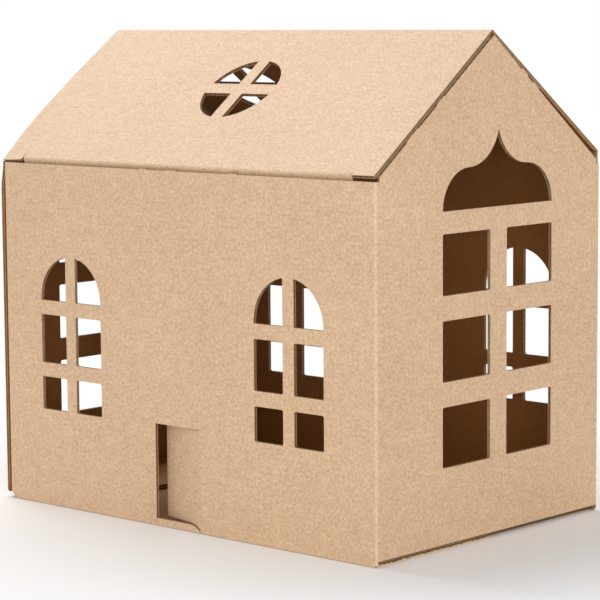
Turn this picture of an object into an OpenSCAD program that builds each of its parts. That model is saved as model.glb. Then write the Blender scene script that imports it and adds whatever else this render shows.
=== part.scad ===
// House folded from one die-cut sheet of corrugated kraft board.
// Millimetres, +Z up, origin on the table under the middle of the house, front facing -Y.
// The four walls are one strip closed by a glue flap at the front left corner. The floor is
// four folded flaps. The roof goes on from the back wall, folds over the ridge and tucks in
// behind the front wall. The door is a flap cut on three sides.

/* [House] */
// Length along the ridge, over the two gable faces
house_l = 263.6; // [240:0.2:320]
// Depth over the front and back faces
house_d = 177; // [165:1:220]
// Height of the ridge above the table
ridge_h = 250; // [246:1:300]
// Slope of the roof's front and of the gables' cut edges, in degrees
roof_slope = 36.8; // [33:0.1:39]
// How much higher the fold at the back eave is than the front eave
back_lift = 3.5; // [0:0.1:4]

/* [Board] */
// Thickness of the corrugated board
board_t = 1.8; // [1.4:0.1:2.4]
// Inner radius of a fold
fold_in = 0.2; // [0.1:0.1:1]
// Gap between boards that lie on each other without glue
lay_gap = 0.3; // [0.3:0.05:0.8]
// Width of a cut line round a moving flap
cut_gap = 0.3; // [0.2:0.05:0.6]
// Width of the glue flap behind the left gable
glue_w = 26; // [15:1:30]
// Space between the glue flap and the left gable
glue_gap = 2; // [0:0.1:3]
// Step from the front face back to the left gable's cut edge
seam_in = 0.9; // [0.5:0.1:2]

/* [Floor flaps] */
// Length of a gable's floor flap
short_flap_l = 57; // [40:1:80]
// Gap between the two long floor flaps in the middle
floor_seam = 1.2; // [0.6:0.1:4]
// Step from the gable face in to the end of the front floor flap
front_flap_in = 0.6; // [0.4:0.1:3]
// Step from the gable face in to the end of the back floor flap
back_flap_in = 4; // [2:0.5:8]
// Step from the long walls in to the side of a gable's floor flap
short_flap_in = 1.5; // [1:0.5:6]

/* [Roof] */
// Gap between the roof's front and the slopes of the gables
roof_gap = 0.6; // [0.4:0.1:1.5]
// Step from the right gable's face in to the edge of the roof
rake_in = 1; // [0:0.1:2]
// Step from the left gable's face in to the edge of the roof
left_rake_in = 0; // [0:0.1:2]
// Length of the flat ear at the right end of the front eave
ear_l = 14; // [8:0.5:30]
// Length of the flat ear at the left end of the front eave
left_ear_l = 17.3; // [8:0.1:30]
// Width of the slit between an ear and the tuck flap
ear_slit = 0.6; // [0.4:0.1:2]
// Length of the tuck flap behind the front wall
tuck_l = 15; // [12:1:32]
// Step from the front face in to the fold of the tuck flap
tuck_in = 0.7; // [0:0.1:1]
// Clearance between the tuck flap and the front wall's inner edge
tuck_gap = 0.4; // [0.3:0.1:1]
// Width of the notch at the top of each corner fold
corner_notch = 3; // [2.5:0.5:5]

/* [Round roof windows] */
// Diameter of a round window
round_d = 45.6; // [36:0.2:60]
// Width of its two crossed bars
round_bar = 7.6; // [5:0.1:10]
// Distance of the front slope's window up the slope, from the eave to its middle
round_up = 61.5; // [40:0.5:70]
// Shift of the front slope's window along the ridge
round_shift = -0.7; // [-20:0.1:20]
// Distance of the back slope's windows up the slope, from the eave to their middles
back_round_up = 54.1; // [40:0.1:70]
// Distance between the middles of the back slope's two windows
back_round_span = 144; // [110:0.5:180]

/* [Arched windows] */
// Width of an arched window
arch_w = 45.5; // [36:0.1:56]
// Height of its sill above the table
arch_sill = 51.5; // [40:0.1:70]
// Height of a low pane
arch_low_h = 17.5; // [12:0.1:24]
// Height of a middle pane
arch_mid_h = 25.6; // [18:0.1:30]
// Height of a top pane's straight side, under the arch
arch_side_h = 1; // [0.5:0.5:8]
// Width of the upright bar
arch_post = 7.2; // [5:0.1:10]
// Height of a cross bar
arch_bar = 7.5; // [5:0.1:10]
// Distance between the middles of the front wall's two windows
arch_span = 154.1; // [110:0.1:180]
// Distance between the middles of the back wall's two windows
back_arch_span = 158.9; // [110:0.1:180]
// How much higher the back wall's window near the right gable is cut than the other one
back_arch_rise = 1.6; // [-4:0.1:4]
// Shift of the front wall's windows along the wall
front_shift = -0.7; // [-6:0.1:6]
// Shift of the back wall's and the back slope's windows along the wall
back_shift = 1.9; // [-6:0.1:6]

/* [Gable windows] */
// Width of a gable pane
gable_pane_w = 37; // [28:0.5:42]
// Width of the upright bar between the panes
gable_post = 13; // [8:0.5:18]
// Height of a cross bar between the panes
gable_bar = 12.1; // [8:0.1:14]
// Height of the sill above the table
gable_sill = 40.4; // [30:0.1:44]
// Height of the bar under the ogee light
ogee_bar = 10.8; // [8:0.1:12]
// Radius of the ogee light's round shoulders
ogee_r = 20.3; // [14:0.1:22]
// Height of the ogee light, from its base to its tip
ogee_h = 38.3; // [32:0.1:42]
// Distance from a gable's peak down to the tip of its ogee light
ogee_in = 44.7; // [30:0.1:60]
// Shift of the right gable's windows towards the back
right_shift = 4.1; // [-8:0.1:8]
// Shift of the left gable's windows towards the back
left_shift = -5.5; // [-8:0.1:8]
// Radius of a pane's corners
pane_r = 1; // [0.5:0.1:2]

/* [Door] */
// Width of the door
door_w = 32; // [24:0.5:40]
// Shift of the door along the wall
door_shift = 0.4; // [-6:0.1:6]
// Height of the door's top edge above the table
door_top = 52.9; // [40:0.1:70]
// Height of the sill above the table
door_sill = 4; // [3.8:0.1:8]
// Radius of the round end of the sill, at the hinge
door_curve = 11.2; // [10:0.1:14]
// Length of the round end along the wall
door_curve_l = 8.5; // [6:0.1:9.5]
// How far the door stands open, in degrees
door_ajar = 13; // [0:1:60]

/* [Hidden] */
$fn = 48;
kraft = [0.80, 0.64, 0.46];
kraft_pale = [0.86, 0.72, 0.55];
// How far a cut reaches past the board
over = 1;
// Steps round a fold
fold_steps = 6;
half_l = house_l / 2;
half_d = house_d / 2;
fold_r = board_t + fold_in;
// Underside of the gables' floor flaps, which lie on the long ones
foot_z = board_t + lay_gap;
wall_z = foot_z + fold_r;
// Sharp corners of the roof's upper face, and the slope of its back
ridge_z = ridge_h + fold_r * (1 / cos(roof_slope) - 1);
eave_z = ridge_z - half_d * tan(roof_slope);
back_eave_z = eave_z + back_lift;
back_slope = atan((ridge_z - back_eave_z) / half_d);
// The tuck flap leans in from its fold, which lies over the front wall, to clear the wall's inner edge
tuck_drop = tuck_in * tan(roof_slope) + (board_t + roof_gap) / cos(roof_slope);
tuck_set = board_t - tuck_in;
tuck_lean = atan2(tuck_set, tuck_drop) + asin(tuck_gap / norm([tuck_set, tuck_drop]));
// Turns of the roof's folds, and the run that each takes from the board on either side
eave_turn = 90 - back_slope;
ridge_turn = back_slope + roof_slope;
tuck_turn = 90 - roof_slope + tuck_lean;
eave_run = fold_r * tan(eave_turn / 2);
ridge_run = fold_r * tan(ridge_turn / 2);
tuck_run = fold_r * tan(tuck_turn / 2);
tuck_d = half_d - tuck_in;
back_slope_l = half_d / cos(back_slope) - ridge_run - eave_run;
front_slope_l = tuck_d / cos(roof_slope) - ridge_run - tuck_run;
ear_slope_l = half_d / cos(roof_slope) - ridge_run;
// Cut top edge of the front wall, and the peak of the gables
wall_h = eave_z - (board_t + roof_gap) / cos(roof_slope);
gable_h = wall_h + half_d * tan(roof_slope);
// Height of a gable pane, of which three rows fit between the sill and the bar under the ogee light
gable_pane_h = (gable_h - ogee_in - ogee_h - ogee_bar - 2 * gable_bar - gable_sill) / 3;
back_h = back_eave_z - eave_run;
// Point of the fold at the back eave that the roof turns on, in a section
eave_hinge = [fold_r - half_d, back_h] + fold_r * [-cos(eave_turn / 2), sin(eave_turn / 2)];
floor_run = half_d - fold_r - floor_seam / 2;
// Corners of the door, flush with the front face
door_x = door_shift + door_w / 2;
door_low = board_t + cut_gap;
// Left end of the front wall, beside the left gable
seam_x = -half_l + board_t + glue_gap;

// Places along the outer face of a strip of board, each with its heading in degrees.
// The strip starts at p with heading a, and has a clockwise fold after each straight run.
function stations(runs, turns, p, a, i = 0) =
    let (q = p + runs[i] * [cos(a), sin(a)])
    let (middle = q + fold_r * [sin(a), -cos(a)])
    concat(
        i == 0 && runs[0] > 0 ? [[p, a]] : [],
        i == len(turns) ? [[q, a]] : fold_stations(middle, a, turns[i]),
        i + 1 < len(runs) ? stations(runs, turns, fold_end(middle, a - turns[i]), a - turns[i], i + 1) : []
    );

// Places round a fold
function fold_stations(middle, a, turn) = [
    for (k = [0:fold_steps]) let (b = a - turn * k / fold_steps) [fold_end(middle, b), b]
];

// Point on the outside of a fold where the heading is a
function fold_end(middle, a) = middle + fold_r * [-sin(a), cos(a)];

// Section of a folded strip of board
module folded_2d(runs, turns, p, a) {
    path = stations(runs, turns, p, a);
    inside = [for (s = path) s[0] + board_t * [sin(s[1]), -cos(s[1])]];
    polygon(concat([for (s = path) s[0]], [for (k = [len(path) - 1:-1:0]) inside[k]]));
}

// Section across the house, drawn with the front at +x, made as long as x0 to x1
module across(x0, x1) {
    translate([x0, 0, 0]) rotate([90, 0, 90]) linear_extrude(x1 - x0) mirror([1, 0]) children();
}

// Outline in X and Z, made as deep as y0 to y1
module along_y(y0, y1) {
    translate([0, y1, 0]) rotate([90, 0, 0]) linear_extrude(y1 - y0) children();
}

// Outline in Y and Z, made as long as x0 to x1
module along_x(x0, x1) {
    translate([x0, 0, 0]) rotate([90, 0, 90]) linear_extrude(x1 - x0) children();
}

// Rectangular pane with soft corners, standing on the x axis
module pane_2d(w, h) {
    translate([pane_r - w / 2, 0]) square([w - 2 * pane_r, h]);
    translate([-w / 2, pane_r]) square([w, h - 2 * pane_r]);
    for (sx = [-1, 1]) for (z = [pane_r, h - pane_r]) translate([sx * (w / 2 - pane_r), z]) circle(pane_r);
}

// Two columns of panes and a round arch, standing on the x axis
module arched_window_2d() {
    pane_w = (arch_w - arch_post) / 2;
    column_x = (arch_post + pane_w) / 2;
    mid_z = arch_low_h + arch_bar;
    top_z = mid_z + arch_mid_h + arch_bar;
    for (sx = [-1, 1]) translate([sx * column_x, 0]) {
        pane_2d(pane_w, arch_low_h);
        translate([0, mid_z]) pane_2d(pane_w, arch_mid_h);
    }
    difference() {
        union() {
            translate([-arch_w / 2, top_z]) square([arch_w, arch_side_h]);
            intersection() {
                translate([0, top_z + arch_side_h]) circle(d = arch_w);
                translate([-arch_w / 2, top_z + arch_side_h]) square([arch_w, arch_w]);
            }
        }
        translate([-arch_post / 2, top_z - over]) square([arch_post, arch_w + 2 * over]);
    }
}

// Ogee light, standing on the x axis
module ogee_2d() {
    half_w = gable_pane_w + gable_post / 2;
    side_x = half_w - ogee_r;
    neck_h = ogee_h - ogee_r;
    // Hollow arc that starts level on the shoulder and ends at the tip
    neck_r = (side_x * side_x + neck_h * neck_h) / (2 * neck_h);
    translate([-side_x, 0]) square([2 * side_x, ogee_r]);
    intersection() {
        for (sx = [-1, 1]) translate([sx * side_x, 0]) circle(ogee_r);
        translate([-half_w, 0]) square([2 * half_w, ogee_r]);
    }
    difference() {
        translate([-side_x, 0]) square([2 * side_x, ogee_h + over]);
        for (sx = [-1, 1]) translate([sx * side_x, ogee_r + neck_r]) circle(neck_r);
    }
}

// Six panes under an ogee light, standing on the x axis
module gable_window_2d() {
    column_x = (gable_post + gable_pane_w) / 2;
    row_h = gable_pane_h + gable_bar;
    for (sx = [-1, 1]) for (row = [0:2]) translate([sx * column_x, row * row_h]) {
        pane_2d(gable_pane_w, gable_pane_h);
    }
    translate([0, 2 * row_h + gable_pane_h + ogee_bar]) ogee_2d();
}

// Round window in four quarters
module round_window_2d() {
    difference() {
        circle(d = round_d);
        square([round_bar, 2 * round_d], center = true);
        square([2 * round_d, round_bar], center = true);
    }
}

// Outline of the doorway, with the round end of its sill under the hinge
module doorway_2d(gap) {
    curve_x = door_x - door_curve_l;
    difference() {
        translate([door_x - door_w + gap, door_low]) square([door_w - gap, door_top - gap - door_low]);
        translate([door_x - door_w, 0]) square([door_w - door_curve_l, door_sill + gap]);
        translate([curve_x, door_sill - door_curve]) circle(door_curve + gap);
    }
}

// Cut that goes on from the sill to the foot of the hinge
module sill_slit_2d() {
    curve_x = door_x - door_curve_l;
    intersection() {
        translate([curve_x, door_sill - door_curve]) difference() {
            circle(door_curve + cut_gap);
            circle(door_curve);
        }
        translate([curve_x, fold_in]) square([door_curve_l, door_low]);
    }
}

// Bevel that lets the door fold inwards, standing on the hinge line in plan
module bevel_2d() {
    polygon([[0, 0], [cut_gap / 2, 0], [cut_gap / 2 + board_t + over, board_t + over], [0, board_t + over]]);
}

// Plan of the strip of walls, from the glue flap round to the left gable
module walls_2d() {
    front_l = half_l - seam_x;
    runs = [glue_w - fold_r, front_l - 2 * fold_r, house_d - 2 * fold_r, house_l - 2 * fold_r];
    mirror([0, 1]) folded_2d(runs, [90, 90, 90, 90], [seam_x, half_d - glue_w], 90);
    translate([-half_l, seam_in - half_d]) square([board_t, house_d - seam_in - fold_r]);
}

// Corner folds in plan
module corner_folds_2d() {
    intersection() {
        walls_2d();
        union() {
            for (x = [seam_x, half_l - fold_r]) translate([x, -half_d]) square(fold_r);
            for (x = [-half_l, half_l - fold_r]) translate([x, half_d - fold_r]) square(fold_r);
        }
    }
}

// The four walls, with raw slopes on the gables and a notch at the top of each corner
module walls() {
    reach = half_d + over;
    // The slope of a gable ends inside the notch
    knee = half_d - corner_notch / 2;
    knee_z = gable_h - knee * tan(roof_slope);
    slopes = [[reach, knee_z], [knee, knee_z], [0, gable_h], [-knee, knee_z], [-reach, knee_z]];
    difference() {
        intersection() {
            union() {
                translate([0, 0, wall_z]) linear_extrude(gable_h - wall_z + over) walls_2d();
                translate([0, 0, fold_r]) linear_extrude(foot_z) corner_folds_2d();
            }
            along_x(-half_l - over, half_l + over) {
                polygon(concat([[-reach, -over], [reach, -over]], slopes));
            }
        }
        for (sy = [-1, 1]) translate([0, sy * half_d, wall_h + half_d]) {
            cube([house_l + 2 * over, 2 * corner_notch, house_d], center = true);
        }
    }
}

// Front wall's foot and its floor flap, which lies on the table
module front_floor() {
    across(seam_x + fold_r, half_l - fold_r) {
        folded_2d([wall_z - fold_r, over], [90], [half_d, wall_z], -90);
    }
    across(seam_x + front_flap_in, half_l - front_flap_in) {
        translate([floor_seam / 2, 0]) square([floor_run, board_t]);
    }
}

// Back floor flap, back wall and the lower half of the fold at the back eave
module back_floor() {
    across(-half_l + fold_r, half_l - fold_r) difference() {
        folded_2d([over, back_h - fold_r], [90, eave_turn / 2], [fold_r + over - half_d, 0], 180);
        eave_split_2d();
    }
    across(-half_l + back_flap_in, half_l - back_flap_in) {
        translate([fold_r - half_d, 0]) square([floor_run, board_t]);
    }
}

// Thin cut across the fold at the back eave, between the wall and the roof
module eave_split_2d() {
    translate(eave_hinge) rotate(-eave_turn / 2) translate([-2 * fold_r, -cut_gap / 2]) {
        square([4 * fold_r, cut_gap]);
    }
}

// Right gable's foot and its floor flap, which lies on the long ones
module gable_floor() {
    flap_half = half_d - board_t - short_flap_in;
    along_y(-half_d + fold_r, half_d - fold_r) folded_2d([0, fold_r], [90], [half_l, wall_z], -90);
    along_y(-flap_half, flap_half) {
        translate([half_l - short_flap_l, foot_z]) square([short_flap_l - fold_r, board_t]);
    }
}

// Bevel of the door jamb along the hinge
module jamb_bevel() {
    translate([door_x, -half_d, door_low]) linear_extrude(door_top - door_low) bevel_2d();
}

module house_body() {
    color(kraft) difference() {
        union() {
            walls();
            front_floor();
            back_floor();
            gable_floor();
            mirror([1, 0, 0]) gable_floor();
        }
        along_y(-half_d - over, -half_d + board_t + over) {
            for (sx = [-1, 1]) translate([front_shift + sx * arch_span / 2, arch_sill]) arched_window_2d();
            doorway_2d(0);
            sill_slit_2d();
        }
        jamb_bevel();
        along_y(half_d - board_t - over, half_d + over) {
            for (sx = [-1, 1]) {
                sill = arch_sill + (sx > 0 ? back_arch_rise : 0);
                translate([back_shift + sx * back_arch_span / 2, sill]) arched_window_2d();
            }
        }
        along_x(half_l - board_t - over, half_l + over) {
            translate([right_shift, gable_sill]) gable_window_2d();
        }
        along_x(-half_l - over, -half_l + board_t + over) {
            translate([left_shift, gable_sill]) gable_window_2d();
        }
    }
}

// Cut for a round window in a slope that rises from an eave at the front, so far up from that eave
module round_cut(x, up, slope, eave) {
    y = up * cos(slope) - half_d;
    z = eave + up * sin(slope);
    translate([x, y, z]) rotate([slope, 0, 0]) translate([0, 0, -board_t - over]) {
        linear_extrude(board_t + 2 * over) round_window_2d();
    }
}

// Section of the roof from the back eave over the ridge, ending as the given runs and turns say
module roof_2d(front_runs, front_turns) {
    middle = [fold_r - half_d, back_h];
    start = 90 - eave_turn / 2;
    difference() {
        folded_2d(
            concat([0, back_slope_l], front_runs),
            concat([eave_turn / 2, ridge_turn], front_turns),
            fold_end(middle, start),
            start
        );
        eave_split_2d();
    }
}

// Slit and flat ear at the right end of the roof, from the ear's inner cut to the edge of the roof
module roof_end(cut, edge) {
    across(cut - ear_slit, cut) roof_2d([front_slope_l], []);
    across(cut, edge) roof_2d([ear_slope_l], []);
}

module roof_lid() {
    right = half_l - rake_in;
    left = half_l - left_rake_in;
    right_cut = right - ear_l;
    left_cut = left - left_ear_l;
    color(kraft_pale) difference() {
        union() {
            // Middle stretch, folded down behind the front wall
            across(ear_slit - left_cut, right_cut - ear_slit) roof_2d([front_slope_l, tuck_l], [tuck_turn]);
            roof_end(right_cut, right);
            mirror([1, 0, 0]) roof_end(left_cut, left);
        }
        round_cut(round_shift, round_up, roof_slope, eave_z);
        for (sx = [-1, 1]) mirror([0, 1, 0]) {
            round_cut(back_shift + sx * back_round_span / 2, back_round_up, back_slope, back_eave_z);
        }
    }
}

module door_flap() {
    color(kraft) translate([door_x, -half_d, 0]) rotate(-door_ajar) translate([-door_x, half_d, 0]) {
        difference() {
            along_y(-half_d, -half_d + board_t) doorway_2d(cut_gap);
            translate([door_x, -half_d, 0]) mirror([1, 0, 0]) linear_extrude(door_top) bevel_2d();
        }
    }
}

house_body();
roof_lid();
door_flap();
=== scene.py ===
# %% [markdown]
# # A toy house folded from one sheet of corrugated board
#
# The real house is a single die-cut blank: four walls in a row, floor flaps under them, and a roof that
# goes on from the back wall. Corrugated board is two flat papers, the liners, with a wavy paper between
# them. So this lesson doesn't texture a solid: it cuts the three papers flat, as the factory does, and
# then folds them. Every cut edge then shows its flutes, from any side.

# %% Load the frame
import math
import random

import bmesh
import bpy
from mathutils import Matrix, Vector


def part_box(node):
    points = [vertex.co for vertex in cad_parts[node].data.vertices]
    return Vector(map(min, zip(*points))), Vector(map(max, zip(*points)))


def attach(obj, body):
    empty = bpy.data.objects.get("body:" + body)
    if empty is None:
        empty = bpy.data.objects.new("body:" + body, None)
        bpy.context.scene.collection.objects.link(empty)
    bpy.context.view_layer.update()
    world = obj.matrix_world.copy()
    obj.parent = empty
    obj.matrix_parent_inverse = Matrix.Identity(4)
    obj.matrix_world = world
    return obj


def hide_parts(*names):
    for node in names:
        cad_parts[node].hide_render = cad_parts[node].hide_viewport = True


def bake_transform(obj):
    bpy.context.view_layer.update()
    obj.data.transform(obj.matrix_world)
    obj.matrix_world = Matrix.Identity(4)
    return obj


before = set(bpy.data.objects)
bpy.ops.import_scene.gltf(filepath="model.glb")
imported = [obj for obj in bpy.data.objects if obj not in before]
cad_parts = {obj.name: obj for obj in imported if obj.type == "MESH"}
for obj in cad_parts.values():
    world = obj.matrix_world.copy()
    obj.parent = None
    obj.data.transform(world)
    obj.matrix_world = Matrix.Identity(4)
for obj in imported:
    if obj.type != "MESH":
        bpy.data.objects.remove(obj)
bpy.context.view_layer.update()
house_low, house_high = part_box("house_body")
roof_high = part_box("roof_lid")[1]
mm = 0.001
print("nodes:", sorted(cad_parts), "box in mm:", [round(v / mm, 1) for v in house_high - house_low])

# %% [markdown]
# ## Camera
#
# The photograph was taken with a long lens from the right, a little above the middle of the walls. The
# place and the angles were found from the corners of the house, so the sheet can be compared with the
# photograph edge by edge. A helper lens or a tracking target would be less exact than the plain angles.

# %% Camera
camera_place = Vector((847.03, -924.886, 258.49)) * mm
camera_azimuth = math.radians(42.363)
camera_tilt = math.radians(90 - 6.809)
camera_roll = math.radians(-0.397)
lens, sensor_w, nearest = 143.807, 36, 0.01

camera_data = bpy.data.cameras.new("camera")
camera_data.lens = lens
camera_data.sensor_width = sensor_w
camera_data.clip_start = nearest
camera = bpy.data.objects.new("camera", camera_data)
bpy.context.scene.collection.objects.link(camera)
camera.matrix_world = (
    Matrix.Translation(camera_place)
    @ Matrix.Rotation(camera_azimuth, 4, "Z")
    @ Matrix.Rotation(camera_tilt, 4, "X")
    @ Matrix.Rotation(camera_roll, 4, "Z")
)
bpy.context.scene.camera = camera
bpy.context.scene.view_settings.view_transform = "Standard"
print("camera", [round(v, 3) for v in camera.location])

# %% [markdown]
# ## Sizes of the sheet
#
# The large sizes come from the frame, so that the papers sit exactly where the solid model is. The rest
# are the sizes that a die maker would write on the drawing of the blank. The solids round every fold by
# the board's own thickness and a little more. Real folds are crushed and tighter, so the papers use a
# smaller radius between the same flat walls.

# %% Sizes from the frame and the die drawing
board = 1.8 * mm
solid_fold_r, fold_r = 2.0 * mm, 1.1 * mm
lay_gap, cut_gap, roof_gap = 0.3 * mm, 0.3 * mm, 0.6 * mm
half_l, half_d, ridge_h = house_high.x, house_high.y, roof_high.z
right_angle = math.pi / 2
slope = math.radians(36.8)
rise = math.tan(slope)
back_lift = 3.5 * mm

# Sharp corners that the rounded folds stand for
ridge_z = ridge_h + solid_fold_r * (1 / math.cos(slope) - 1)
eave_z = ridge_z - half_d * rise
back_eave_z = eave_z + back_lift
back_slope = math.atan((ridge_z - back_eave_z) / half_d)
wall_drop = (board + roof_gap) / math.cos(slope)
wall_h = eave_z - wall_drop
foot_lift = 0.5 * mm
gable_foot = board + lay_gap + foot_lift + fold_r
print("eaves at", round(eave_z / mm, 2), round(back_eave_z / mm, 2), "mm, front wall", round(wall_h / mm, 2))

# %% Turns of the roof's folds, and the run that each takes from the board on either side
tuck_l, tuck_in, tuck_gap = 15 * mm, 0.7 * mm, 0.4 * mm
tuck_drop, tuck_set = wall_drop + tuck_in * rise, board - tuck_in
tuck_lean = math.atan2(tuck_set, tuck_drop) + math.asin(tuck_gap / math.hypot(tuck_set, tuck_drop))
eave_turn, ridge_turn = right_angle - back_slope, back_slope + slope
tuck_turn = right_angle - slope + tuck_lean
roof_folds = (eave_turn, ridge_turn, tuck_turn)
eave_run, ridge_run, tuck_run = (fold_r * math.tan(turn / 2) for turn in roof_folds)
back_h = back_eave_z - eave_run
print("roof folds turn", [round(math.degrees(turn), 1) for turn in roof_folds], "degrees")

# %% [markdown]
# ## Folding
#
# A fold line class walks along the board seen from its end. It knows the straight runs and the round
# folds between them, and says where a point of the flat sheet goes: so far along the outer face, and so
# deep into the board. A crease is pressed in from the inside, so the board is thin along it and swells to
# its full thickness a few millimetres away. A bend modifier would give neither.

# %% Steps along a heading
crushed, crush_reach = 0.55, 4.0 * mm
fold_steps, crush_steps = 5, 3
hair = 1e-6  # places closer than this count as one


def ahead(angle):
    return Vector((math.cos(angle), math.sin(angle)))


def left_of(angle):
    return Vector((-math.sin(angle), math.cos(angle)))


def smooth(share):
    """A soft step from 0 to 1."""
    share = min(1.0, max(0.0, share))
    return share * share * (3 - 2 * share)


print("a crease presses the board to", round(board * crushed / mm, 2), "mm")


# %% A line of board with folds in it
class FoldLine:
    """Straight runs of board, each but the last followed by a fold to the left."""

    def __init__(self, start, heading, runs, turns):
        self.legs, self.folds = [], []
        place, angle, reached = Vector(start), heading, 0.0
        for run, turn in zip(runs, list(turns) + [0.0]):
            self.legs.append((reached, run, turn, place, angle))
            middle = place + run * ahead(angle) + fold_r * left_of(angle)
            angle += turn
            place = middle - fold_r * left_of(angle)
            if turn:
                self.folds.append((reached + run, reached + run + fold_r * turn))
            reached += run + fold_r * turn
        self.length = reached

    def at(self, along, depth):
        """Where a point goes that lies so far along the outer face, and so deep into the board."""
        reached, run, turn, place, angle = [leg for leg in self.legs if leg[0] <= along + hair][-1]
        past = along - reached - run
        if past <= 0 or turn == 0:
            return place + (along - reached) * ahead(angle) + depth * left_of(angle)
        middle = place + run * ahead(angle) + fold_r * left_of(angle)
        return middle - (fold_r - depth) * left_of(angle + past / fold_r)

    def thin(self, along):
        """The share of the board's thickness that the creases have left here."""
        away = min(max(start - along, along - end, 0.0) for start, end in self.folds)
        return crushed + (1 - crushed) * smooth(away / crush_reach)

    def marks(self):
        """Where the papers need an edge across them to follow the creases."""
        swells = [crush_reach * (k + 1) / crush_steps for k in range(crush_steps)]
        places = []
        for start, end in self.folds:
            places += [start + (end - start) * k / fold_steps for k in range(fold_steps + 1)]
            places += [place for away in swells for place in (start - away, end + away)]
        return places


floor_fold = FoldLine((0, 0), 0, [0, 1], [right_angle])
fold_use = fold_r * right_angle
print("a floor fold uses", round(fold_use / mm, 2), "mm of board")

# %% [markdown]
# ## Cutting paper flat
#
# An outline with windows is cut into narrow upright strips, at every corner of the outline and at every
# flute. Each strip crosses the outline an even number of times, so its pieces are simply every second
# stretch. A Boolean would give the same holes, but with messy faces that don't follow the flutes.


# %% Cut an outline with holes into strips
def kept(place):
    """A place to a tenth of a micrometre, so that neighbouring strips agree on it."""
    return round(place, 7)


def level(edge, u):
    """The height at which an edge of the outline passes a place."""
    (u0, v0), (u1, v1) = edge
    return v0 + (v1 - v0) * (u - u0) / (u1 - u0)


def strip_pieces(loops, cuts, bands):
    """Four-sided pieces of a flat outline, between neighbouring cuts and fold bands."""
    edges = [tuple(sorted(pair)) for loop in loops for pair in zip(loop, loop[1:] + loop[:1])]
    edges = [edge for edge in edges if edge[1][0] - edge[0][0] > hair]
    marks = {kept(u) for u in cuts} | {kept(u) for loop in loops for u, v in loop}
    for edge in edges:
        (u0, v0), (u1, v1) = edge
        for band in bands((u0 + u1) / 2):
            if min(v0, v1) < band < max(v0, v1):
                marks.add(kept(u0 + (u1 - u0) * (band - v0) / (v1 - v0)))
    marks = sorted(marks)
    for left, right in zip(marks, marks[1:]):
        middle = (left + right) / 2
        crossed = sorted(
            (level(edge, middle), level(edge, left), level(edge, right))
            for edge in edges
            if edge[0][0] < middle < edge[1][0]
        )
        for low, high in zip(crossed[::2], crossed[1::2]):
            inner = [(band, band) for band in sorted(bands(middle)) if low[0] + hair < band < high[0] - hair]
            rungs = [low[1:]] + inner + [high[1:]]
            for (a0, a1), (b0, b1) in zip(rungs, rungs[1:]):
                if max(b0 - a0, b1 - a1) > hair:
                    yield left, right, a0, a1, b0, b1


def no_bands(u):
    return []


square = [(0, 0), (1, 0), (1, 1), (0, 1)]
print("a square with one cut gives", len(list(strip_pieces([square], [0.5], no_bands))), "strips")


# %% Join the strips at their corners
def flat_faces(loops, cuts, bands):
    """The pieces as rings of corners, which also take the corners of their neighbours."""
    pieces = list(strip_pieces(loops, cuts, bands))
    beside = {}
    for left, right, a0, a1, b0, b1 in pieces:
        beside.setdefault(left, set()).update((kept(a0), kept(b0)))
        beside.setdefault(right, set()).update((kept(a1), kept(b1)))
    for left, right, a0, a1, b0, b1 in pieces:
        a0, a1, b0, b1 = (kept(v) for v in (a0, a1, b0, b1))
        rising = sorted(v for v in beside[right] if a1 <= v <= b1)
        falling = sorted((v for v in beside[left] if a0 <= v <= b0), reverse=True)
        ring = [(right, v) for v in rising] + [(left, v) for v in falling]
        if len(ring) > 2:
            yield ring


print("their rings have", [len(ring) for ring in flat_faces([square], [0.5], no_bands)], "corners")

# %% [markdown]
# ## Three papers make a board
#
# Each paper is a thin closed sheet: a front, a back and a rim along every cut. The outer and inner liners
# are flat, and the flute paper rises and falls between them. Its crests are a little flat, as they are
# where the real crests are glued. A striped texture on the cut edges would be lighter, but it would look
# painted on from close by, and light couldn't fall into the flutes.

# %% Papers of the board
flute_pitch = 3.3 * mm
liner_t, flute_t = 0.28 * mm, 0.2 * mm
flute_lift = (board - 2 * liner_t - flute_t) / 2
crests, crest_cut = (1 / 8, 3 / 8, 5 / 8, 7 / 8), 2
outer_paper, flute_paper, inner_paper, cut_rim = range(4)


def flute_cuts(low, high, shift):
    first, last = math.floor((low - shift) / flute_pitch), math.ceil((high - shift) / flute_pitch)
    places = [(k + crest) * flute_pitch + shift for k in range(first, last) for crest in crests]
    return [u for u in places if low < u < high]


def flute_depth(u):
    """A zigzag whose points are cut off, which makes the flat crests."""
    zigzag = 1 - 4 * abs((u / flute_pitch + 0.25) % 1 - 0.5)
    return board / 2 + flute_lift * max(-1, min(1, crest_cut * zigzag))


def flute_front(u):
    return flute_depth(u) - flute_t / 2


def flute_back(u):
    return flute_depth(u) + flute_t / 2


papers = (
    (outer_paper, cut_rim, lambda u: 0, lambda u: liner_t),
    (flute_paper, flute_paper, flute_front, flute_back),
    (inner_paper, cut_rim, lambda u: board - liner_t, lambda u: board),
)
print("flute paper rises", round(2 * flute_lift / mm, 2), "mm between the liners")


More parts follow.
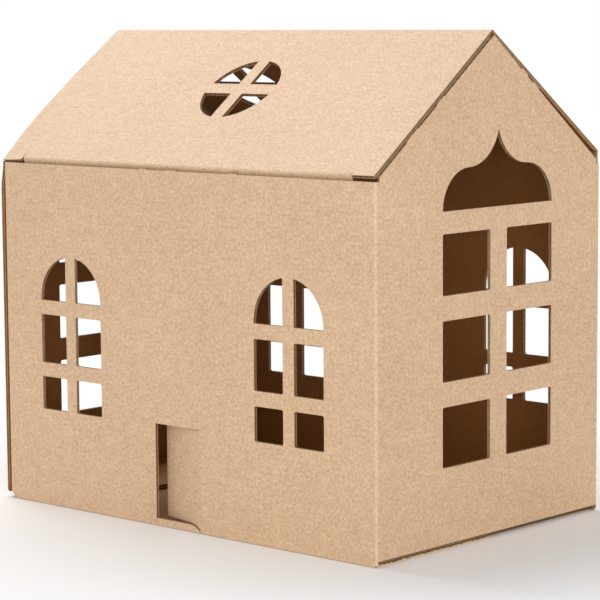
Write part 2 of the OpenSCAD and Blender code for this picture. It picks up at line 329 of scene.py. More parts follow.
# %% One paper: front, back and rim
class Sheet:
    """A mesh in the making, with each corner's place in the flat blank and how pressed by a crease it is,
    for wear and a painted highlight.
    """

    def __init__(self, place, thin, shift):
        self.mesh = bmesh.new()
        self.blank = self.mesh.loops.layers.uv.new("blank")
        self.worn = self.mesh.verts.layers.float.new("worn")
        self.place, self.thin, self.shift = place, thin, shift

    def corner(self, u, v, depth):
        thin = self.thin(u, v)
        vert = self.mesh.verts.new(self.place(u, v, depth(u - self.shift) * thin))
        # How pressed the corner is; the paint makes creases paler, partly rubbed paper and partly a painted
        # highlight
        vert[self.worn] = (1 - thin) / (1 - crushed)
        return vert

    def face(self, finish, verts, flat):
        face = self.mesh.faces.new(verts)
        face.material_index = finish
        for loop, spot in zip(face.loops, flat):
            loop[self.blank].uv = spot

    def paper(self, finish, rim, front, back, rings):
        corners = sorted({corner for ring in rings for corner in ring})
        fronts = {spot: self.corner(*spot, front) for spot in corners}
        backs = {spot: self.corner(*spot, back) for spot in corners}
        sides = {side for ring in rings for side in zip(ring, ring[1:] + ring[:1])}
        for ring in rings:
            self.face(finish, [fronts[spot] for spot in ring], ring)
            self.face(finish, [backs[spot] for spot in reversed(ring)], list(reversed(ring)))
        for a, b in sorted(sides):
            if (b, a) not in sides:
                self.face(rim, [fronts[b], fronts[a], backs[a], backs[b]], [b, a, a, b])


# Its wear is a crease mask that also carries a painted highlight along the folds
print("a sheet keeps its flat places and its wear")


# %% Fold the three papers up into one mesh
def make_board(name, loops, cuts, bands, place, thin, shift=0.0, liner_loops=()):
    """A board in one mesh. The liner loops are torn ends where only the outer liner is left."""
    sheet = Sheet(place, thin, shift)
    low = min(u for loop in loops for u, v in loop)
    high = max(u for loop in loops for u, v in loop)
    for finish, rim, front, back in papers:
        more = flute_cuts(low, high, shift) if finish == flute_paper else []
        own = loops + list(liner_loops) if finish == outer_paper else loops
        sheet.paper(finish, rim, front, back, list(flat_faces(own, cuts + more, bands)))
    data = bpy.data.meshes.new(name)
    sheet.mesh.to_mesh(data)
    sheet.mesh.free()
    piece = bpy.data.objects.new(name, data)
    bpy.context.scene.collection.objects.link(piece)
    print(name, "has", sum(len(face.vertices) - 2 for face in data.polygons), "triangles")
    return piece


# %% [markdown]
# ## Window outlines
#
# The die has three kinds of window: arched windows with two columns of panes, gable windows with six panes
# under an ogee light, and round roof windows in quarters. They could be cut out of finished walls with
# Boolean shapes, but here they are only more loops in the flat outline, before anything is folded. Round
# stretches are arcs and the rest is straight, so each loop is a short list of corners.


# %% Arcs, rectangles and panes
def arc(middle, radius, start, end, steps):
    angles = [math.radians(start + (end - start) * k / steps) for k in range(steps + 1)]
    return [(middle[0] + radius * math.cos(a), middle[1] + radius * math.sin(a)) for a in angles]


def rectangle(u0, v0, u1, v1):
    return [(u0, v0), (u1, v0), (u1, v1), (u0, v1)]


pane_r, pane_steps = 1.0 * mm, 3


def pane(u, v, width, height):
    """A pane with slightly round corners, over the middle of its sill."""
    left, right = u - width / 2 + pane_r, u + width / 2 - pane_r
    low, high = v + pane_r, v + height - pane_r
    loop = []
    for middle, start in (((right, low), 270), ((right, high), 0), ((left, high), 90), ((left, low), 180)):
        loop += arc(middle, pane_r, start, start + 90, pane_steps)
    return loop


print("a pane has", len(pane(0, 0, 1, 1)), "corners")

# %% Arched window
arch_w, arch_post, arch_bar = 45.5 * mm, 7.2 * mm, 7.5 * mm
arch_sill, arch_low_h, arch_mid_h, arch_side_h = 51.5 * mm, 17.5 * mm, 25.6 * mm, 1.0 * mm
arch_steps = 12


def arched_window(u, sill):
    width = (arch_w - arch_post) / 2
    mid_v = sill + arch_low_h + arch_bar
    top_v = mid_v + arch_mid_h + arch_bar
    spring = (u, top_v + arch_side_h)
    post_angle = math.degrees(math.acos(arch_post / arch_w))
    loops = []
    for side, start, end in ((-1, 180, 180 - post_angle), (1, 0, post_angle)):
        middle = u + side * (arch_post + width) / 2
        loops.append(pane(middle, sill, width, arch_low_h))
        loops.append(pane(middle, mid_v, width, arch_mid_h))
        sill_line = [(u + side * arch_post / 2, top_v), (u + side * arch_w / 2, top_v)]
        loops.append(sill_line + arc(spring, arch_w / 2, start, end, arch_steps))
    return loops


print("an arched window has", len(arched_window(0, arch_sill)), "panes")

# %% Gable window with its ogee light
gable_pane_w, gable_pane_h, gable_post, gable_bar = 37.0 * mm, 29.7 * mm, 13.0 * mm, 12.1 * mm
gable_sill, ogee_bar, ogee_r, ogee_h = 40.4 * mm, 10.8 * mm, 20.3 * mm, 38.3 * mm
gable_rows, shoulder_steps, neck_steps = 3, 10, 12


def ogee(u, v):
    half_w = gable_pane_w + gable_post / 2
    side_u, neck_h = half_w - ogee_r, ogee_h - ogee_r
    neck_r = (side_u**2 + neck_h**2) / (2 * neck_h)
    tip = math.degrees(math.asin(side_u / neck_r))
    shoulder = arc((side_u, 0), ogee_r, 0, 90, shoulder_steps)
    neck = arc((side_u, ogee_r + neck_r), neck_r, -90, -90 - tip, neck_steps)
    right = shoulder + neck[1:]
    left = [(-a, b) for a, b in reversed(right[:-1])]
    return [(u + a, v + b) for a, b in right + left]


def gable_window(u):
    middles = [u + side * (gable_post + gable_pane_w) / 2 for side in (-1, 1)]
    sills = [gable_sill + row * (gable_pane_h + gable_bar) for row in range(gable_rows)]
    panes = [pane(middle, sill, gable_pane_w, gable_pane_h) for middle in middles for sill in sills]
    return panes + [ogee(u, sills[-1] + gable_pane_h + ogee_bar)]


print("a gable window has", len(gable_window(0)), "openings")

# %% Round window
round_d, round_bar, round_steps = 45.6 * mm, 7.6 * mm, 10


def round_window(u, v):
    start = math.degrees(math.asin(round_bar / round_d))
    edge = arc((0, 0), round_d / 2, start, 90 - start, round_steps)
    quarter = [(round_bar / 2, round_bar / 2)] + edge
    return [[(u + a * x, v + b * y) for x, y in quarter] for a in (-1, 1) for b in (-1, 1)]


print("a round window has", len(round_window(0, 0)), "quarters")

# %% [markdown]
# ## Walls and floor
#
# In the flat sheet the walls stand in a row: glue flap, front, right gable, back, left gable. Four slabs
# could stand for them, but the paper of the real house runs round its corners without a seam. So the row
# is folded in plan, and each wall's floor flap is folded once more at its foot. A place on the sheet is
# its distance along the row and its height on the wall.

# %% The row of walls in plan
glue_w, glue_gap, seam_in = 26 * mm, 2.0 * mm, 0.9 * mm
seam_x = -half_l + board + glue_gap
glue_run = glue_w - fold_r
front_run = half_l - fold_r - (seam_x + fold_r)
gable_run = 2 * (half_d - fold_r)
back_run = 2 * (half_l - fold_r)
left_run = 2 * half_d - fold_r - seam_in
wall_runs = [glue_run, front_run, gable_run, back_run, left_run]
walls_line = FoldLine((seam_x, -half_d + glue_w), -right_angle, wall_runs, [right_angle] * 4)
front_u, right_u, back_u, left_u = (leg[0] for leg in walls_line.legs[1:])


def on_front(x):
    return front_u + x - (seam_x + fold_r)


def on_right(y):
    return right_u + y + half_d - fold_r


def on_back(x):
    return back_u + half_l - fold_r - x


def on_left(y):
    return left_u + half_d - fold_r - y


print("the row of walls is", round(walls_line.length / mm), "mm long")

# %% Where each floor flap is folded
flap_reach, flap_slit = 1.7 * mm, 0.1 * mm
fold_heights = (fold_r, gable_foot, fold_r, gable_foot)
columns = [
    (reached, reached + run, height, corner, angle)
    for (reached, run, turn, corner, angle), height in zip(walls_line.legs[1:], fold_heights)
]


def column_at(u):
    """The wall over a place of the sheet, with its floor flap's small overhang."""
    found = [column for column in columns if column[0] - flap_reach < u < column[1] + flap_reach]
    return found[0] if found else None


def flap_at(u, v):
    """The same wall, but only for a place below its fold."""
    found = [c for c in columns if v < c[2] - hair and c[0] + flap_slit / 2 < u < c[1] - flap_slit / 2]
    if found or v >= fold_r - hair:
        return found[0] if found else None
    return column_at(u)


print("floor folds start", [round(column[2] / mm, 1) for column in columns], "mm above the table")


# %% Fold a place of the house sheet
left_end = walls_line.length
left_lean, lean_reach, lean_low, lean_steps = 1.8 * mm, 30 * mm, 167 * mm, 6
lean_bands = [lean_low + (wall_h - lean_low) * k / lean_steps for k in range(lean_steps)]


def house_bands(u):
    column = column_at(u)
    folds = [column[2] - mark for mark in floor_fold.marks()] if column else []
    return folds + lean_bands if u > left_end - lean_reach else folds


def corner_lean(u, v):
    """How far the left gable's front corner leans in at a place, most at its top."""
    along, up = (u - left_end + lean_reach) / lean_reach, (v - lean_low) / (wall_h - lean_low)
    return left_lean * smooth(along) * smooth(up)


def house_thin(u, v):
    column = column_at(u)
    foot_thin = floor_fold.thin(column[2] - v) if column else 1.0
    return foot_thin if flap_at(u, v) else min(foot_thin, walls_line.thin(u))


def house_place(u, v, depth):
    flap = flap_at(u, v)
    if flap is None:
        x, y = walls_line.at(u, depth)
        return x + corner_lean(u, v), y, v
    start, end, height, corner, angle = flap
    down, inward = floor_fold.at(height - v, depth)
    x, y = corner + (u - start) * ahead(angle) + inward * left_of(angle)
    torn = u - front_u - front_run
    if flap is columns[0] and torn > hair:
        # The front flap's torn end stands up along the gable
        return x - torn - depth, y, torn
    return x, y, height - down


on_flap = house_place(on_front(0), -10 * mm, 0)
print("a point 10 mm into the front flap lies at", [round(c / mm, 1) for c in on_flap])

# %% [markdown]
# ## Cut edges that show how they were cut
#
# A die leaves small nicks that hold the blank in its waste until it is pushed out, and they tear into
# little burrs. The end of the front floor flap is torn more than it is cut: only its outer liner reaches
# the gable, and stands up there. Both are in the outline, so they are real bumps in the paper and not a
# picture of some.

# %% Burrs and ragged ends
wobble = random.Random(7)
burr_shape = ((-0.5, 0), (-0.35, 0.8), (-0.1, 1), (0.2, 0.7), (0.4, 0.9), (0.5, 0))


def burr(u, v, width, height, slant=0.0):
    """A torn nick on a cut edge that runs towards +u and rises by slant for each metre."""
    return [(u + a * width, v + a * width * slant + b * height) for a, b in burr_shape]


def ragged(start, end, step, size):
    """Points from start to end along v, pushed to and fro along u."""
    count = max(2, round(abs(end[1] - start[1]) / step))
    inner = [k / count for k in range(1, count)]
    return [(start[0] + wobble.uniform(-size, size), start[1] + (end[1] - start[1]) * t) for t in inner]


print("a burr has", len(burr(0, 0, 1, 1)), "corners")

# %% Tops of the walls
corner_notch, left_tip_up, left_foot_drop = 3 * mm, 0.2 * mm, 0.7 * mm
left_foot_y, left_tip_y = 5 * mm - half_d, 2.5 * mm - half_d
crease_low = 181.0 * mm
front_burrs, front_burr_h = ((-22.5, 6.5), (-2.5, 7.8), (40.5, 5.4)), 0.5 * mm
rake_burrs, rake_burr_h = ((-61.6, 9.6), (-41.0, 6.1), (24.8, 5.0), (33.9, 5.0)), 0.9 * mm


def rake_z(y):
    """Height of a gable's cut edge, which leaves a gap under the roof."""
    return wall_h + (half_d - abs(y)) * rise


def notched(y):
    return [(y, wall_h), (y, rake_z(y))]


right_rake = notched(-half_d + corner_notch)
for y, width in rake_burrs[:2]:
    right_rake += burr(y * mm, rake_z(y * mm), width * mm, rake_burr_h, rise)
right_rake += [(0, rake_z(0))]
for y, width in rake_burrs[2:]:
    right_rake += burr(y * mm, rake_z(y * mm), width * mm, rake_burr_h, -rise)
right_rake += reversed(notched(half_d - corner_notch))
left_rake = notched(half_d - corner_notch) + [(0, rake_z(0))]
left_rake += [(y, rake_z(y) - left_foot_drop) for y in (left_foot_y, left_tip_y)]
print("gables peak at", round(rake_z(0) / mm, 2), "mm")

# %% Outline of the walls
corner_round, corner_steps = 3 * mm, 4
right_end, back_end = right_u + gable_run, back_u + back_run
top = [(0, rake_z(-half_d + glue_w)), (glue_w - corner_notch, rake_z(-half_d + corner_notch))]
top += [(glue_w - corner_notch, wall_h)]
for x, width in front_burrs:
    top += burr(on_front(x * mm), wall_h, width * mm, front_burr_h)
top += [(on_right(y), z) for y, z in right_rake]
top += [(back_u, wall_h), (back_u, crease_low), (back_end, crease_low), (back_end, wall_h)]
top += [(on_left(y), z) for y, z in left_rake]
top += [(left_end, wall_h + left_tip_up)]
foot = [(left_end, gable_foot), (left_u, gable_foot), (left_u, fold_r), (back_u, fold_r)]
foot += [(right_end, fold_r), (right_end, gable_foot), (right_u, gable_foot), (right_u, fold_r)]
round_foot = fold_r + corner_round
for step in range(corner_steps + 1):
    turned = step * right_angle / corner_steps
    across, up = corner_round * (1 - math.sin(turned)), corner_round * math.cos(turned)
    foot += [(front_u + across, round_foot - up)]
foot += [(0, round_foot)]
walls_loop = top + foot
print("the walls' outline has", len(walls_loop), "corners")

# %% Floor flaps
floor_seam = 1.2 * mm
flap_foot = fold_r - fold_use
flap_end = flap_foot - (half_d - fold_r - floor_seam / 2)
front_flap_in, back_flap_in, short_flap_in, short_flap_l = 2.2 * mm, 4 * mm, 1.5 * mm, 57 * mm
tear_h, tear_step, tear_size = 0.95 * mm, 0.9 * mm, 0.35 * mm
front_a, front_b = front_u + corner_round, on_front(half_l - front_flap_in)
tear_u = front_u + front_run + tear_h
front_flap = rectangle(front_a, flap_end, front_b, flap_foot)
torn_end = [(front_b, flap_end), (tear_u, flap_end)]
torn_end += ragged((tear_u, flap_end), (tear_u, flap_foot), tear_step, tear_size)
torn_end += [(tear_u, flap_foot), (front_b, flap_foot)]
back_flap = rectangle(on_back(half_l - back_flap_in), flap_end, on_back(back_flap_in - half_l), flap_foot)
short_half = half_d - board - short_flap_in
short_top = gable_foot - fold_use
short_end = short_top - (short_flap_l - fold_r)
flaps = [
    front_flap,
    back_flap,
    rectangle(on_right(-short_half), short_end, on_right(short_half), short_top),
    rectangle(on_left(short_half), short_end, on_left(-short_half), short_top),
    rectangle(front_a, flap_foot, front_u + front_run, fold_r),
    rectangle(back_u, flap_foot, back_end, fold_r),
    rectangle(right_u + flap_slit, short_top, right_end - flap_slit, gable_foot),
    rectangle(left_u + flap_slit, short_top, left_u + gable_run - flap_slit, gable_foot),
]
print("the front floor flap is", round((flap_foot - flap_end) / mm, 1), "mm wide")

# %% Doorway
door_w, door_top, door_sill, door_low = 32.0 * mm, 52.9 * mm, 4.0 * mm, 2.1 * mm
door_shift, sill_steps, slit_steps = 0.4 * mm, 8, 4
door_x = door_shift + door_w / 2
door_curve, door_curve_l, crease, sill_gap = 11.2 * mm, 8.5 * mm, 2.0 * mm, 0.35 * mm
curve_x, curve_v = door_x - door_curve_l, door_sill - door_curve


def curve_angle(height, radius):
    """Angle on the sill's round end at which it has come down to a height."""
    return math.degrees(math.asin((height - curve_v) / radius))


def doorway(gap, low_gap):
    """The door's outline, drawn in from its cuts by a gap, and up to the crease beyond the hinge line."""
    low, high = door_low + low_gap, door_top - gap
    radius = door_curve + low_gap
    sill = arc((curve_x, curve_v), radius, 90, curve_angle(low, radius), sill_steps)
    low_end = [(door_x, low), (door_x, door_low), (door_x + crease, door_low)]
    high_end = [(door_x + crease, door_top), (door_x, door_top), (door_x, high)]
    left = door_x - door_w + gap
    outline = [(left, door_sill + low_gap)] + sill + low_end + high_end + [(left, high)]
    return [(on_front(x), v) for x, v in outline]


curve_end = math.degrees(math.acos(door_curve_l / door_curve))
sill_slit = arc((curve_x, curve_v), door_curve, curve_angle(door_low, door_curve), curve_end, slit_steps)
wide_curve = door_curve + sill_gap
sill_slit += arc((curve_x, curve_v), wide_curve, curve_end, curve_angle(door_low, wide_curve), slit_steps)
sill_slit = [(on_front(x), v) for x, v in sill_slit]
print("the doorway is", round(door_w / mm, 1), "mm wide")

# %% Fold up the house
arch_span, back_arch_span, back_arch_rise = 154.1 * mm, 158.9 * mm, 1.6 * mm
front_shift, back_shift, right_shift, left_shift = -0.7 * mm, 1.9 * mm, 4.1 * mm, -5.5 * mm
house_loops = [walls_loop] + flaps + [doorway(0, 0), sill_slit]
for side in (-1, 1):
    house_loops += arched_window(on_front(front_shift + side * arch_span / 2), arch_sill)
    back_sill = arch_sill + (back_arch_rise if side > 0 else 0)
    house_loops += arched_window(on_back(back_shift + side * back_arch_span / 2), back_sill)
house_loops += gable_window(on_right(right_shift)) + gable_window(on_left(left_shift))
lean_cuts = [left_end - lean_reach * k / lean_steps for k in range(1, lean_steps + 1)]
wall_cuts = walls_line.marks() + lean_cuts
house_board = make_board(
    "house_board", house_loops, wall_cuts, house_bands, house_place, house_thin, liner_loops=[torn_end]
)
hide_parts("house_body")
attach(house_board, "house")

# %% [markdown]
# ## Roof
#
# The roof goes on from the back wall over two folds and tucks in behind the front wall with a third. Its
# two ears aren't tucked in and lie flat on their corners. Two stiff slabs could stand for it, but board
# isn't glass: the tuck flap pulls the eave down a little, and towards the left end the slope bows up and
# its corner is drawn down and in. So the sheet is folded first and its slack is added to every place. The
# board bends at the back eave when the roof is lifted, so the piece starts a little below that fold.

# %% Roof in section
back_slope_run = half_d / math.cos(back_slope) - ridge_run - eave_run
ear_run = half_d / math.cos(slope) - ridge_run
front_slope_run = (half_d - tuck_in) / math.cos(slope) - ridge_run - tuck_run
roof_start = (half_d, crease_low)
roof_runs, roof_turns = [back_h - crease_low, back_slope_run], [eave_turn, ridge_turn]


def roof_section(front_runs, front_turns):
    return FoldLine(roof_start, right_angle, roof_runs + front_runs, roof_turns + front_turns)


tuck_line = roof_section([front_slope_run, tuck_l], [tuck_turn])
ear_line = roof_section([ear_run], [])
print("the roof blank is", round(tuck_line.length / mm), "mm long")

# %% Fold a place of the roof sheet
rake_in, right_ear_l, left_ear_l, left_slit_up = 1 * mm, 14 * mm, 17.3 * mm, 3.5 * mm
right_slit, left_slit = 0.6 * mm, 1.0 * mm
sag, sag_reach, corner_sag, corner_reach, corner_up = 0.8 * mm, 60 * mm, 0.9 * mm, 26 * mm, 25 * mm
bow, bow_reach, slack_steps = 1.0 * mm, 120 * mm, 12
ear_pressed, ear_soft = 0.3, 4 * mm
# The sheet is seen from its outer face with the ridge across, so its right end is the house's left
roof_a, roof_b = -(half_l - rake_in), half_l
cut_a, cut_b = roof_a + right_ear_l, roof_b - left_ear_l
front_v = tuck_line.legs[2][0]
front_end = front_v + front_slope_run


def roof_line_at(u):
    return tuck_line if cut_a + right_slit / 2 < u < cut_b - left_slit / 2 else ear_line


slack_bands = [front_v + front_slope_run * k / slack_steps for k in range(1, slack_steps)]


def roof_bands(u):
    return roof_line_at(u).marks() + slack_bands


def roof_thin(u, v):
    pressed = smooth((v - front_end + ear_soft) / ear_soft) if u > cut_b - left_slit / 2 else 0
    return roof_line_at(u).thin(v) * (1 - ear_pressed * pressed)


def slack(u, v):
    """How far the front slope stands over a flat board at a place."""
    down = min(1.0, max(0.0, (v - front_v) / front_slope_run))
    bowed = bow * math.sin(math.pi * down) * smooth(1 - (roof_b - u) / bow_reach)
    pulled = sag * down * smooth((u - roof_a) / sag_reach)
    cornered = corner_sag * smooth(1 - (roof_b - u) / corner_reach) * smooth(1 - (front_end - v) / corner_up)
    return bowed - pulled - cornered


def roof_place(u, v, depth):
    y, z = roof_line_at(u).at(v, depth)
    return -u, y, z + slack(u, v)


print("the ears are cut at x", round(-cut_b / mm, 1), "and", round(-cut_a / mm, 1), "mm")

# %% Fold up the roof
round_up, round_shift, back_round_up, back_round_span = 61.5 * mm, -0.7 * mm, 54.1 * mm, 144 * mm
roof_flute_shift = 0.375 * mm
fold_middle = roof_runs[0] + fold_r * eave_turn / 2
edge_in, edge_up, edge_curve, edge_steps = 2.8 * mm, 40 * mm, 1.6, 8
ear_b, slit_tip = roof_b - edge_in, (cut_b - left_slit / 3, front_end - left_slit_up)
left_edge = []
for step in range(edge_steps + 1):
    share = step / edge_steps
    left_edge += [(roof_b - edge_in * share**edge_curve, front_end - edge_up * (1 - share))]
roof_loops = [
    rectangle(-(half_l - fold_r), 0, half_l - fold_r, fold_middle),
    [(roof_a, fold_middle), (roof_b, fold_middle)] + left_edge + [(roof_a, front_end)],
    rectangle(cut_a + right_slit, front_end, cut_b - left_slit, tuck_line.length),
    rectangle(roof_a, front_end, cut_a, ear_line.length),
    rectangle(cut_b, front_end, ear_b, ear_line.length),
    [(cut_b - left_slit, front_end), slit_tip, (cut_b, front_end)],
]
roof_loops += round_window(-round_shift, front_v + ear_run - round_up)
back_v = tuck_line.legs[1][0] - eave_run + back_round_up
for side in (-1, 1):
    roof_loops += round_window(-(back_shift + side * back_round_span / 2), back_v)
slack_cuts = [roof_a + sag_reach * k / slack_steps for k in range(1, slack_steps + 1)]
slack_cuts += [roof_b - bow_reach * k / slack_steps for k in range(1, slack_steps + 1)]
roof_board = make_board(
    "roof_board", roof_loops, slack_cuts, roof_bands, roof_place, roof_thin, roof_flute_shift
)
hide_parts("roof_lid")
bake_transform(roof_board)

# %% [markdown]
# ## Door
#
# The door is a flap of the front wall, cut on three sides and pushed a little inwards. A plate on a hinge
# would show a gap beside the wall. On the real sheet the paper goes on round its crease, so the piece
# takes in a narrow strip of the wall. A smooth turn across that strip sets it ajar.

# %% Fold the door ajar
door_ajar, crease_steps = math.radians(13), 4
hinge_u = on_front(door_x)
crease_cuts = [hinge_u + crease * (k / crease_steps - 1) for k in range(2 * crease_steps + 1)]


def door_place(u, v, depth):
    angle = door_ajar * smooth((hinge_u + crease - u) / (2 * crease))
    across = u - hinge_u
    x = across * math.cos(angle) + depth * math.sin(angle)
    y = -across * math.sin(angle) + depth * math.cos(angle)
    return door_x + x, y - half_d, v


door_loops = [doorway(cut_gap, sill_gap)]
door_board = make_board("door_board", door_loops, crease_cuts, no_bands, door_place, lambda u, v: 1.0)
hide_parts("door_flap")
door_x + crease
door_x - crease
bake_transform(door_board)

# %% [markdown]
# ## Shader sums
#
# A material could be drawn by hand in the node editor, but it is easier to read as a sum than as a drawing
# of boxes. One small class wraps a socket, so that plain operators add Math nodes, and one method adds any
# other node.


# %% A socket that can be used in sums
mix_share, mix_first, mix_second, mix_result = 0, 6, 7, 2  # the colour sockets of a Mix node


class Paint:
    """A value in a material's node tree."""

    def __init__(self, tree, socket=None):
        self.tree, self.socket = tree, socket

    def node(self, kind, settings=None, sockets=None, output=0):
        made = self.tree.nodes.new(kind)
        for name, value in (settings or {}).items():
            if name == "stops":
                set_stops(made.color_ramp, value)
            else:
                setattr(made, name, value)
        for name, value in (sockets or {}).items():
            if isinstance(value, Paint):
                self.tree.links.new(value.socket, made.inputs[name])
            else:
                made.inputs[name].default_value = value
        return Paint(self.tree, made.outputs[output])

    def sum(self, operation, *values):
        return self.node("ShaderNodeMath", {"operation": operation}, dict(enumerate(values)))

    def mix(self, first, second):
        settings = {"data_type": "RGBA", "blend_type": "MIX"}
        sockets = {mix_share: self, mix_first: first, mix_second: second}
        return self.node("ShaderNodeMix", settings, sockets, mix_result)

    def into(self, socket):
        self.tree.links.new(self.socket, socket)

    def __add__(self, other):
        return self.sum("ADD", self, other)

    def __sub__(self, other):
        return self.sum("SUBTRACT", self, other)

    def __rsub__(self, other):
        return self.sum("SUBTRACT", other, self)

    def __mul__(self, other):
        return self.sum("MULTIPLY", self, other)

    __radd__, __rmul__ = __add__, __mul__


print("a socket can be added, taken away and multiplied")


# %% Ramps and new materials
def set_stops(ramp, stops):
    while len(ramp.elements) < len(stops):
        ramp.elements.new(1)
    for element, (place, shade) in zip(ramp.elements, stops):
        element.position, element.color = place, (shade, shade, shade, 1)


def new_material(name):
    material = bpy.data.materials.new(name)
    material.use_nodes = True
    return material, Paint(material.node_tree), material.node_tree.nodes["Principled BSDF"]


print("materials are written as sums")

# %% [markdown]
# ## Kraft paper
#
# Kraft liner is unbleached wood fibre: a warm brown with a fine grain of paler and darker fibre about a
# millimetre wide, faint clouds, fibres drawn out along the machine, which runs across the flutes, and a
# few dark specks. A picture of paper would repeat, so all of it is drawn from noise in the flat blank's
# own metres, and goes round the folds as the paper does. Where a crease has stretched the outer liner, the
# paper is painted paler: partly rubbed paper, partly a painted highlight along the fold.

# %% Grain of a paper
# Scale, detail and roughness of each noise
fine_grain, cloud_grain, wide_grain = (640, 3, 0.65), (160, 2, 0.5), (16, 2, 0.5)
fibre_grain, speck_grain = (1, 2, 0.6), (620, 1, 0.5)
fibre_stretch, mark_edge = (120, 900, 1), (0.48, 0.8)


def grain(paint, place, scale, detail, roughness):
    values = {"Vector": place, "Scale": scale, "Detail": detail, "Roughness": roughness}
    return paint.node("ShaderNodeTexNoise", {}, values)


def ramp(paint, value, low, high):
    return paint.node("ShaderNodeValToRGB", {"stops": ((low, 0), (high, 1))}, {"Fac": value})


def mark(paint, blank, fine, spot, turn, size):
    """A small stain or scuff at a place of the flat blank, with a fibrous edge."""
    settings = {"vector_type": "TEXTURE"}
    values = {"Vector": blank, "Location": (*spot, 0), "Rotation": (0, 0, turn), "Scale": (*size, 1)}
    local = paint.node("ShaderNodeMapping", settings, values)
    away = paint.node("ShaderNodeVectorMath", {"operation": "LENGTH"}, {0: local}, "Value")
    return 1 - ramp(paint, 0.8 * away + 0.48 * fine, *mark_edge)


print("a paper's grain is drawn from five noises")

# %% A kraft paper
# The rubbed colour paints creases paler: rubbed paper and a painted highlight along the folds
dark_fibre, dark_share, rubbed_highlight_share = (0.30, 0.18, 0.10, 1), 0.6, 0.35
tone_edge, dark_edge, rubbed_highlight_edge = (0.38, 0.62), (0.72, 0.78), (0.84, 0.96)
bump_strength, bump_h, fibre_rough, paper_shine = 0.25, 0.05 * mm, 0.12, 0.5


def kraft(name, pale, deep, rubbed_highlight, rough, marks=()):
    material, paint, shader = new_material(name)
    blank = paint.node("ShaderNodeUVMap", {"uv_map": "blank"})
    drawn_out = paint.node("ShaderNodeMapping", {}, {"Vector": blank, "Scale": fibre_stretch})
    fine, cloud, wide, dots = (
        grain(paint, blank, *noise) for noise in (fine_grain, cloud_grain, wide_grain, speck_grain)
    )
    fibre = grain(paint, drawn_out, *fibre_grain)
    tone = ramp(paint, 0.62 * fine + 0.2 * cloud + 0.1 * wide + 0.08 * fibre, *tone_edge)
    colour = tone.mix(deep, pale)
    colour = (dark_share * ramp(paint, dots, *dark_edge)).mix(colour, dark_fibre)
    # Paler along creases: rubbed paper and a painted highlight along the folds
    worn = paint.node("ShaderNodeAttribute", {"attribute_name": "worn"}, output="Fac")
    colour = (rubbed_highlight_share * ramp(paint, 0.8 * worn + 0.2 * fine, *rubbed_highlight_edge)).mix(colour, rubbed_highlight)
    for spot, turn, size, strength, shade in marks:
        colour = (strength * mark(paint, blank, fine, spot, turn, size)).mix(colour, shade)
    colour.into(shader.inputs["Base Color"])
    (rough + fibre_rough * fibre).into(shader.inputs["Roughness"])
    relief = {"Height": fine + fibre, "Strength": bump_strength, "Distance": bump_h}
    paint.node("ShaderNodeBump", {}, relief).into(shader.inputs["Normal"])
    shader.inputs["Specular IOR Level"].default_value = paper_shine
    return material


print("the fibres stand up by", round(bump_h / mm, 2), "mm")

# %% Marks on the right gable
scuff_turn, scuff_size, scuff_share = math.radians(-57), (3.2 * mm, 1.0 * mm), 0.55
scuff_shade, stain_shade = (0.86, 0.70, 0.54, 1), (0.30, 0.19, 0.11, 1)
stain_size, stain_share = (0.9 * mm, 0.9 * mm), 0.6
scuff_spot, stain_spots = (31.8, 210.0), ((2.4, 210.1), (5.3, 203.6))


def on_gable(y, z):
    return on_right(y * mm), z * mm


marks = [(on_gable(*scuff_spot), scuff_turn, scuff_size, scuff_share, scuff_shade)]
marks += [(on_gable(*spot), 0.0, stain_size, stain_share, stain_shade) for spot in stain_spots]
print("the gable has", len(marks), "marks")

# %% Liners, flute paper and cut rims
# Pale fibre, deep fibre, rubbed fibre that also holds a painted highlight along creases, and roughness of
# each paper
outer_look = ((0.80, 0.545, 0.338, 1), (0.555, 0.374, 0.228, 1), (0.84, 0.66, 0.48, 1), 0.52)
flute_look = ((0.33, 0.20, 0.10, 1), (0.26, 0.155, 0.075, 1), (0.33, 0.20, 0.10, 1), 0.7)
# The inner liner's own darker brown, deepened further as painted shade of the dim inside of the house
inner_shaded_look = ((0.41, 0.172, 0.038, 1), (0.31, 0.125, 0.026, 1), (0.43, 0.19, 0.045, 1), 0.62)
# The cut paper's own colour, darkened further as painted shade on the jambs and the sides of the windows
cut_shaded_look = ((0.60, 0.43, 0.28, 1), (0.44, 0.30, 0.185, 1), (0.60, 0.43, 0.28, 1), 0.7)
finishes = [
    kraft("outer_kraft", *outer_look, marks),
    kraft("flute_kraft", *flute_look),
    kraft("inner_kraft_shaded", *inner_shaded_look),
    kraft("cut_kraft_shaded", *cut_shaded_look),
]
for piece in (house_board, roof_board, door_board):
    for finish in finishes:
        piece.data.materials.append(finish)
print("finishes:", [finish.name for finish in house_board.data.materials])

# %% [markdown]
# ## Light and floor
#
# The photograph was lit softly and cut out on white. A picture of a studio could light the house, but two
# lamps and a plain sky are easier to set. A large lamp high on the left grazes the roof, whose paper shows
# a pale sheen there, a second one stands between the front and the gable and lights them alike, and the
# sky fills in. The floor is white to the camera but still takes the house's shadow.


# %% Lamps
def soft_lamp(name, place, aim, size, watts):
    data = bpy.data.lights.new(name, "AREA")
    data.size = size
    data.energy = watts
    lamp = bpy.data.objects.new(name, data)
    lamp.location = place
    lamp.rotation_euler = (Vector(aim) - Vector(place)).to_track_quat("-Z", "Y").to_euler()
    bpy.context.scene.collection.objects.link(lamp)
    return lamp


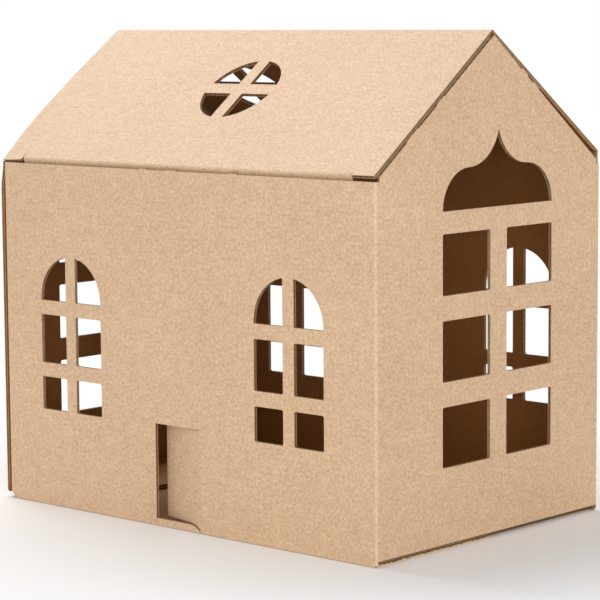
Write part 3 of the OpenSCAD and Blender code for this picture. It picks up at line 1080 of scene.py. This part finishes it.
house_middle = (0, 0, ridge_h / 2)
roof_lamp_place, roof_lamp_size, roof_lamp_watts = (-1.08, 0.26, 1.35), 1.2, 16.5
front_lamp_place, front_lamp_size, front_lamp_watts = (1.34, -1.26, 0.55), 1.4, 17
lamps = [
    soft_lamp("roof_lamp", roof_lamp_place, house_middle, roof_lamp_size, roof_lamp_watts),
    soft_lamp("front_lamp", front_lamp_place, house_middle, front_lamp_size, front_lamp_watts),
]
print("lamps:", [lamp.name for lamp in lamps])

# %% Sky
world = bpy.context.scene.world or bpy.data.worlds.new("sky")
bpy.context.scene.world = world
world.use_nodes = True
sky_light = 0.54


def seen_directly(tree):
    """1 for the rays that show the backdrop itself, 0 for the light that falls on the house."""
    kinds = ("Is Camera Ray", "Is Glossy Ray", "Is Transmission Ray")
    camera_ray, glossy_ray, clear_ray = (
        Paint(tree).node("ShaderNodeLightPath", output=kind) for kind in kinds
    )
    either = camera_ray + glossy_ray + clear_ray
    return either.sum("MINIMUM", either, 1)


strength = sky_light + (1 - sky_light) * seen_directly(world.node_tree)
background = world.node_tree.nodes["Background"]
white = (1, 1, 1, 1)
background.inputs["Color"].default_value = white
strength.into(background.inputs["Strength"])
print("sky light", sky_light)

# %% Floor
shadow_near, shadow_far, floor_size = 0.17, 0.34, 8
floor_pale, floor_rough = (0.93, 0.93, 0.93, 1), 0.9
bpy.ops.mesh.primitive_plane_add(size=floor_size, location=(0, 0, house_low.z))
floor = bpy.context.object
floor.name = "floor"
floor_material, paint, floor_shader = new_material("pale_floor")
floor_shader.inputs["Base Color"].default_value = floor_pale
floor_shader.inputs["Roughness"].default_value = floor_rough
floor_shader.inputs["Specular IOR Level"].default_value = 0
place = paint.node("ShaderNodeTexCoord", output="Object")
away = paint.node("ShaderNodeVectorMath", {"operation": "LENGTH"}, {0: place}, "Value")
limits = {"Value": away, "From Min": shadow_near, "From Max": shadow_far}
fade = paint.node("ShaderNodeMapRange", {"interpolation_type": "SMOOTHSTEP"}, limits)
glow = paint.node("ShaderNodeEmission", {}, {"Color": white, "Strength": 1.0})
lit = Paint(paint.tree, floor_shader.outputs[0])
blended = paint.node("ShaderNodeMixShader", {}, {0: fade * seen_directly(paint.tree), 1: lit, 2: glow})
blended.into(paint.tree.nodes["Material Output"].inputs["Surface"])
floor.data.materials.append(floor_material)
print("the floor's shadow fades out", shadow_far, "m from the middle of the house")
